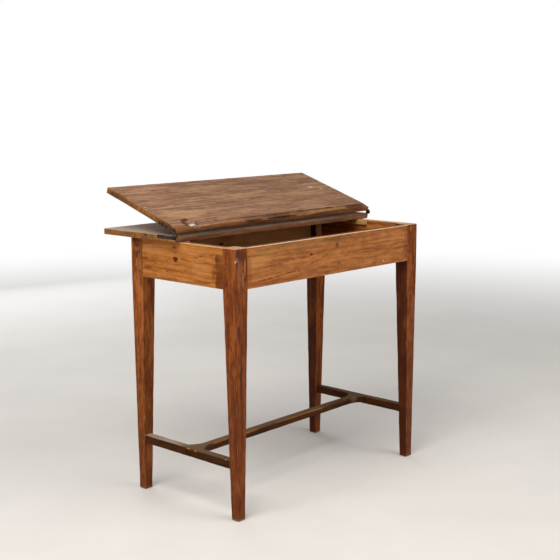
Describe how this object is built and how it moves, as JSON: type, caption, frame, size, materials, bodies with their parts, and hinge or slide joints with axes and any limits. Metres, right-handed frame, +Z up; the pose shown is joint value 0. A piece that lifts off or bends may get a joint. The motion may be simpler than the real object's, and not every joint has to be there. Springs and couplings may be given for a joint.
{
  "type": "fold-over writing table",
  "caption": "Slim wooden writing table on tapered legs with an open storage box under a two-leaf top; the front leaf folds back on iron end hinges.",
  "frame": {"origin": "on the floor, under the middle of the whole table with its front leaf folded back as in the picture", "axes": "+X along the table's length to its right end as seen from the front, +Y from the front to the back, +Z up"},
  "size_m": [0.8058, 0.4942, 0.8415],
  "materials": {
    "frame_wood": "worn, waxed, orange-brown",
    "leaf_wood": "worn, dull, greyish brown",
    "stretcher_wood": "dark, dusty, worn at the edges",
    "cleat_wood": "pale, planed",
    "floor_wood": "rough sawn, dark with age",
    "peg_wood": "dark end grain",
    "old_iron": "forged, rusty brown"
  },
  "bodies": {
    "frame": {"leg_front_left": "frame_wood", "leg_front_right": "frame_wood", "leg_back_left": "frame_wood", "leg_back_right": "frame_wood", "apron_front": "frame_wood", "apron_back": "frame_wood", "apron_left": "frame_wood", "apron_right": "frame_wood", "apron_pegs": "peg_wood", "stretcher_left": "stretcher_wood", "stretcher_right": "stretcher_wood", "stretcher_long": "stretcher_wood", "floor_ledger_left": "floor_wood", "floor_ledger_right": "floor_wood", "floor_board_1": "floor_wood", "floor_board_2": "floor_wood", "floor_board_3": "floor_wood", "floor_nails": "old_iron", "cleat_left": "cleat_wood", "cleat_right": "cleat_wood", "cleat_screws": "old_iron", "rear_leaf": "leaf_wood", "hinge_rear_plate_left": "old_iron", "hinge_rear_plate_right": "old_iron", "hinge_pin_left": "old_iron", "hinge_pin_right": "old_iron", "hinge_screws_rear": "old_iron"},
    "folding_leaf": {"front_leaf": "leaf_wood", "hinge_front_plate_left": "old_iron", "hinge_front_plate_right": "old_iron", "hinge_screws_front": "old_iron"}
  },
  "joints": [
    {"name": "leaf_fold", "type": "hinge", "parent": "frame", "child": "folding_leaf", "pos_m": [0, -0.0469, 0.7318], "axis": [1, 0, 0], "range_deg": [-19.3, 161.8]}
  ]
}
